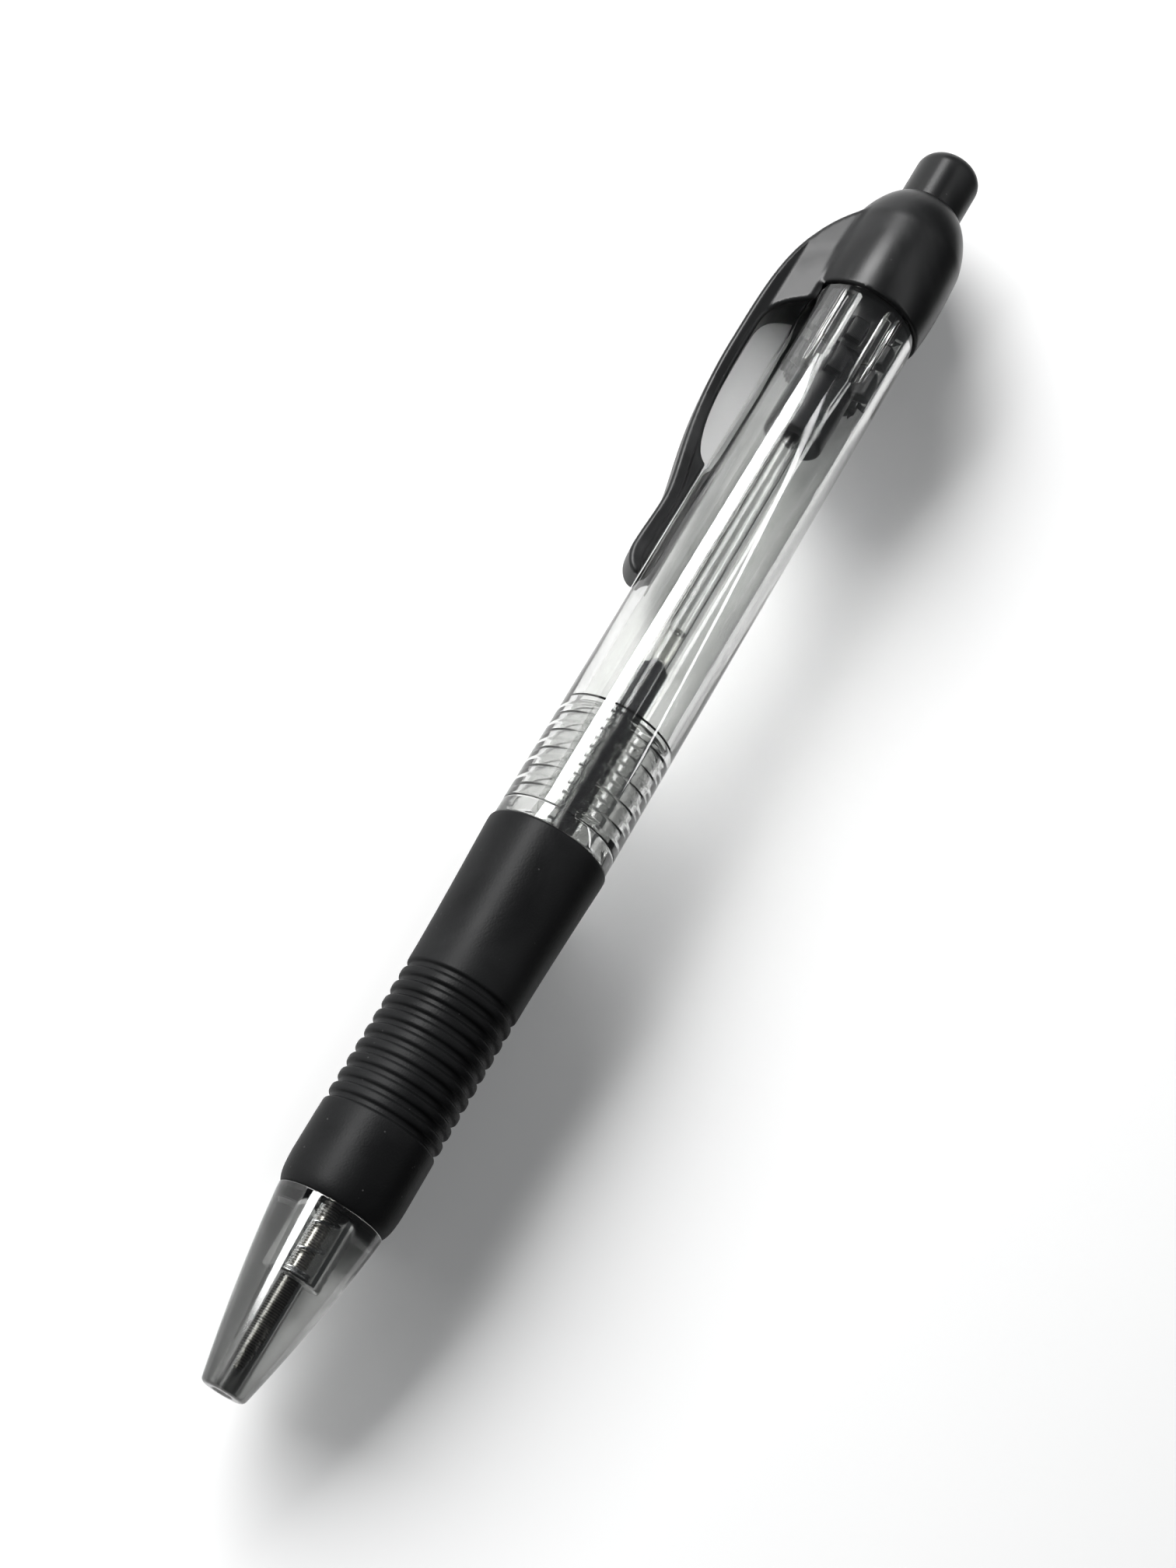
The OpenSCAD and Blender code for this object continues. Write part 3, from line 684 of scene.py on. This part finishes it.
# ---- Push button ----
# One black moulding: the part under the thumb with its rounded end, a stop collar inside
# the cap, six lugs between the barrel's ribs and a crown of teeth that turns the cam.
button_r = 3.35
button_end = 139.9
button_round = 1.7


def button_field(points):
    """Distance to the button: shank with a rounded end, collar, lugs, teeth and bore."""
    along = points[:, 2]
    across, radius = folded(points, 30)
    side = radius - (button_r - button_round)
    top = along - (button_end - button_round)
    shank = np.hypot(np.maximum(side, 0), np.maximum(top, 0))
    shank = shank + np.minimum(np.maximum(side, top), 0) - button_round
    shank = soft_max(shank, 112.7 - along, 0.1)
    collar = soft_max(radius - 4.2, np.abs(along - 127.5) - 2.0, 0.3)
    lug = soft_max(np.abs(across) - 0.8, radius - spline_r, 0.2)
    lug = soft_max(lug, np.abs(along - 114.5) - 1.2, 0.2)
    crown = soft_max(tooth(points, -0.1), radius - 3.0, 0.15)
    crown = soft_max(crown, np.abs(along - 112.3) - 0.7, 0.1)
    solid = np.minimum(soft_min(soft_min(shank, collar, 0.2), lug, 0.2), crown)
    return soft_max(solid, -np.maximum(radius - 1.58, along - 120.6), 0.1)


tree, out, black_gloss = new_material("black_gloss")
mark = add_marks(tree, scratch_scale=800.0, smudge_scale=120.0, speck_scale=1500.0,
                 grain_scale=8000.0)
shade = place(tree, "Mix", {"Factor": mark["Smudges"], 6: (0.004, 0.0041, 0.0043, 1),
                            7: (0.010, 0.0102, 0.0105, 1)}, data_type="RGBA")
dusty = place(tree, "Math", {0: mark["Specks"], 1: 0.3}, operation="MULTIPLY")
shade = place(tree, "Mix", {"Factor": dusty.outputs["Value"], 6: shade.outputs[2],
                            7: (0.12, 0.12, 0.12, 1)}, data_type="RGBA")
worn = place(tree, "Math", {0: mark["Scratches"], 1: mark["Smudges"]}, operation="MAXIMUM")
rough = place(tree, "MapRange", {"Value": worn.outputs["Value"], "To Min": 0.3,
                                 "To Max": 0.44})
bump = place(tree, "Bump", {"Height": mark["Grain"], "Strength": 0.06, "Distance": 0.00004})
shader = place(tree, "BsdfPrincipled", {
    "Base Color": shade.outputs[2], "Roughness": rough.outputs["Result"], "IOR": 1.5,
    "Specular IOR Level": 0.18, "Normal": bump.outputs["Normal"]})
tree.links.new(shader.outputs["BSDF"], out.inputs["Surface"])
button_points, button_faces = skin(button_field, (-4.8, -4.8, 111.0), (4.8, 4.8, 140.5), 0.2)
button = assemble("thumb_button", button_points, button_faces, black_gloss, 50)
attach(button, "button")
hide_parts("push_button")

# ---- Cap and clip ----
# The cap, the clip's root, its springy arm and the shoe that presses on the barrel are one
# black moulding. The cap snaps over the barrel's neck, and the arm bends just before the root.
cap_end = 133.3


def curve(a, b, c, d, steps):
    """Points of a smooth line from a to d, drawn towards b and c."""
    t = np.linspace(0, 1, steps + 1)[:, None]
    a, b, c, d = (np.array(p, float) for p in (a, b, c, d))
    u = 1 - t
    return u ** 3 * a + 3 * u * u * t * b + 3 * u * t * t * c + t ** 3 * d


cap_line = np.concatenate([
    curve((cap_front, 5.95), (120.0, 6.10), (121.2, 6.204), (122.8, 6.204), 12),
    curve((123.2, 6.204), (124.8, 6.204), (126.4, 6.11), (127.8, 6.05), 10),
    curve((128.2, 6.01), (129.9, 5.71), (132.0, 4.95), (cap_end, 3.65), 24)])
cap_slope = np.gradient(cap_line[:, 1], cap_line[:, 0])
clip_top = np.concatenate([
    curve((81.4, 5.82), (81.45, 6.72), (82.4, 7.6), (84.0, 7.72), 14),
    curve((84.4, 7.72), (86.0, 7.72), (87.5, 7.56), (89.3, 7.56), 8),
    curve((89.7, 7.56), (93.0, 7.6), (97.5, 9.86), (108.1, 9.96), 24),
    curve((108.6, 9.96), (117.0, 10.0), (124.0, 10.2), (128.9, 4.9), 30)])
clip_under = np.concatenate([
    [[128.9, 4.0], [116.2, 4.0]],
    curve((116.2, 5.2), (114.9, 7.2), (114.0, 8.5), (111.4, 8.51), 12),
    curve((111.0, 8.51), (102.0, 8.51), (96.2, 8.01), (95.2, 5.82), 24)])
clip_outline = np.concatenate([clip_top, clip_under])
# Signed distance to the clip's side outline on an even table, which cap_field reads
table_step = 0.05
table_low = np.array([78.0, 2.5])
table_size = (1100, 170)
z_grid, r_grid = np.meshgrid(np.arange(table_size[0]), np.arange(table_size[1]), indexing="ij")
z_grid = table_low[0] + table_step * z_grid
r_grid = table_low[1] + table_step * r_grid
nearest = np.full(z_grid.shape, 1e9)
within = np.zeros(z_grid.shape, bool)
for (z0, r0), (z1, r1) in zip(clip_outline, np.roll(clip_outline, -1, 0)):
    dz = z1 - z0
    dr = r1 - r0
    t = np.clip(((z_grid - z0) * dz + (r_grid - r0) * dr) / (dz * dz + dr * dr + 1e-12), 0, 1)
    away = (z_grid - z0 - t * dz) ** 2 + (r_grid - r0 - t * dr) ** 2
    nearest = np.minimum(nearest, away)
    crosses = (r0 > r_grid) != (r1 > r_grid)
    if abs(dr) > 1e-9:
        within ^= crosses & (z_grid < z0 + (r_grid - r0) * dz / dr)
clip_table = np.where(within, -1, 1) * np.sqrt(nearest)


def clip_distance(along, reach):
    """Distance to the clip's side outline, read from its table."""
    z = np.clip((along - table_low[0]) / table_step, 0, table_size[0] - 1.001)
    r = np.clip((reach - table_low[1]) / table_step, 0, table_size[1] - 1.001)
    i = z.astype(int)
    j = r.astype(int)
    z = z - i
    r = r - j
    low_side = clip_table[i, j] * (1 - z) + clip_table[i + 1, j] * z
    high_side = clip_table[i, j + 1] * (1 - z) + clip_table[i + 1, j + 1] * z
    return low_side * (1 - r) + high_side * r


def cap_field(points):
    """Distance to the cap and clip as one body, hollowed for neck, collar and button."""
    reach, across, along = points.T
    radius = np.hypot(reach, across)
    slope = np.interp(along, cap_line[:, 0], cap_slope)
    shell = (radius - np.interp(along, cap_line[:, 0], cap_line[:, 1])) / np.hypot(1, slope)
    shell = soft_max(shell, cap_front - along, 0.3)
    shell = soft_max(shell, along - cap_end, 0.3)
    top = np.interp(along, clip_top[:, 0], clip_top[:, 1])
    depth = np.clip((top - reach - 1.2) / 0.25, 0, 1)
    inset = 0.28 * depth * depth * (3 - 2 * depth) * np.clip((97.5 - along) / 1.5, 0, 1)
    spread = np.clip((8.51 - reach) / 2.81, 0, 1) * np.clip((along - 111.0) / 2.0, 0, 1)
    side = (np.abs(across) - (1.8 - inset + spread)) / np.sqrt(1 + 0.126 * (spread > 0))
    outline = clip_distance(along, reach)
    edge = 0.38
    a = outline + edge
    b = side + edge
    arm = np.minimum(np.maximum(a, b), 0) + np.hypot(np.maximum(a, 0), np.maximum(b, 0)) - edge
    solid = soft_min(shell, arm, 0.5)
    hollow = np.maximum(radius - 5.72, along - cap_front - 0.02)
    for hole_r, hole_end in ((5.02, 126.1), (4.36, 129.6), (3.43, 140.0)):
        hollow = np.minimum(hollow, np.maximum(radius - hole_r, along - hole_end))
    return soft_max(solid, -hollow, 0.16)


cap_points, cap_faces = skin(cap_field, (-6.8, -6.8, 80.8), (10.6, 6.8, 134.0), 0.2)
cap = assemble("cap_with_clip", cap_points, cap_faces, black_gloss, 50)
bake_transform(cap)
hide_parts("cap", "clip")

# ---- Table, light and camera ----
# A white table under a wide soft light beyond the clip's side, a weak narrow strip above and
# a dim room. The camera looks down along the pen from its nose.
bpy.context.scene.view_settings.view_transform = "Standard"
bpy.context.scene.view_settings.look = "None"
tree, out, table_white = new_material("table_white")
where = place(tree, "TexCoord").outputs["Object"]
cloud = place(tree, "TexNoise", {"Vector": where, "Scale": 9.0, "Detail": 3.0})
shade = place(tree, "Mix", {"Factor": cloud.outputs["Fac"], 6: (0.86, 0.86, 0.86, 1),
                            7: (0.89, 0.89, 0.885, 1)}, data_type="RGBA")
fibre = place(tree, "TexNoise", {"Vector": where, "Scale": 2500.0, "Detail": 2.0})
bump = place(tree, "Bump", {"Height": fibre.outputs["Fac"], "Strength": 0.05,
                            "Distance": 0.00005})
shader = place(tree, "BsdfPrincipled", {"Base Color": shade.outputs[2], "Roughness": 0.7,
                                        "Specular IOR Level": 0.2,
                                        "Normal": bump.outputs["Normal"]})
tree.links.new(shader.outputs["BSDF"], out.inputs["Surface"])
table_half = 3.0
table_top = -2e-5
floor_mesh = bpy.data.meshes.new("table_top")
floor_corners = [(x * table_half, y * table_half, table_top)
                 for x, y in ((-1, -1), (1, -1), (1, 1), (-1, 1))]
floor_mesh.from_pydata(floor_corners, [], [(0, 1, 2, 3)])
floor_mesh.materials.append(table_white)
floor = bpy.data.objects.new("table_top", floor_mesh)
bpy.context.scene.collection.objects.link(floor)

world = bpy.data.worlds.new("dim_room")
world.use_nodes = True
world.node_tree.nodes["Background"].inputs["Color"].default_value = (0.62, 0.64, 0.66, 1)
world.node_tree.nodes["Background"].inputs["Strength"].default_value = 0.17
bpy.context.scene.world = world


def soft_box(name, at, aim, width, depth, power):
    """A rectangular soft light, in metres and watts."""
    lamp = bpy.data.lights.new(name, "AREA")
    lamp.shape = "RECTANGLE"
    lamp.size = width
    lamp.size_y = depth
    lamp.energy = power
    held = bpy.data.objects.new(name, lamp)
    bpy.context.scene.collection.objects.link(held)
    held.location = at
    aim = np.array(aim, float) - np.array(at, float)
    held.rotation_euler = (math.atan2(np.hypot(aim[0], aim[1]), -aim[2]), 0,
                           math.atan2(-aim[0], aim[1]))


soft_box("window_light", (0.20, 0.82, 0.36), (0, 0, 0), 0.96, 0.30, 27.0)
soft_box("ceiling_strip", (0.34, -0.14, 0.58), (0.05, 0, 0), 0.7, 0.035, 1.0)

camera = bpy.data.objects.new("camera", bpy.data.cameras.new("camera"))
camera.data.lens = 57.14
camera.data.sensor_width = 36.0
camera.data.clip_start = 0.01
camera.data.clip_end = 20.0
camera.location = (-0.09197, 0.09421, 0.18968)
camera.rotation_euler = [math.radians(a) for a in (3.275, -34.654, -54.689)]
bpy.context.scene.collection.objects.link(camera)
bpy.context.scene.camera = camera
